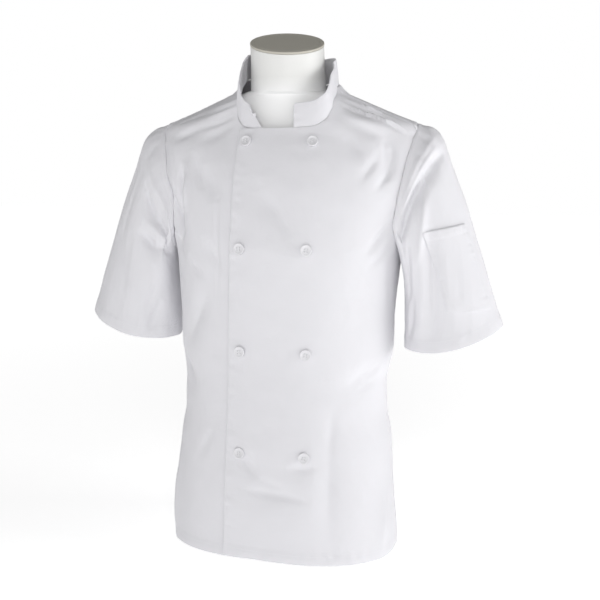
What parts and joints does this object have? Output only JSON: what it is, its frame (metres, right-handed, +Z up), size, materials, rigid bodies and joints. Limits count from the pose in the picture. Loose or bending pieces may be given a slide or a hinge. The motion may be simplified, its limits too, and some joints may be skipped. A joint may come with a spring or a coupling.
{
  "type": "chef jacket on a torso form",
  "caption": "Short-sleeved double-breasted chef jacket with a band collar and sleeve pocket, worn by a limbless torso form that stands on its flat base.",
  "frame": {"origin": "middle of the torso form's flat base, on the surface it stands on", "axes": "+Z up, -Y to the jacket's front, +X to the wearer's left"},
  "size_m": [0.6966, 0.2769, 0.8367],
  "materials": {
    "cotton": "white cotton twill, matt",
    "form": "smooth white moulded shell",
    "cap": "grey-beige matt cap",
    "button": "white moulded buttons"
  },
  "bodies": {
    "root": {"torso_form": "form", "neck_cap": "cap", "front_left": "cotton", "front_right": "cotton", "back": "cotton", "sleeve_left": "cotton", "sleeve_right": "cotton", "sleeve_pocket": "cotton", "collar": "cotton", "button_left_1": "button", "button_left_2": "button", "button_left_3": "button", "button_left_4": "button", "button_right_1": "button", "button_right_2": "button", "button_right_3": "button", "button_right_4": "button"}
  },
  "joints": []
}
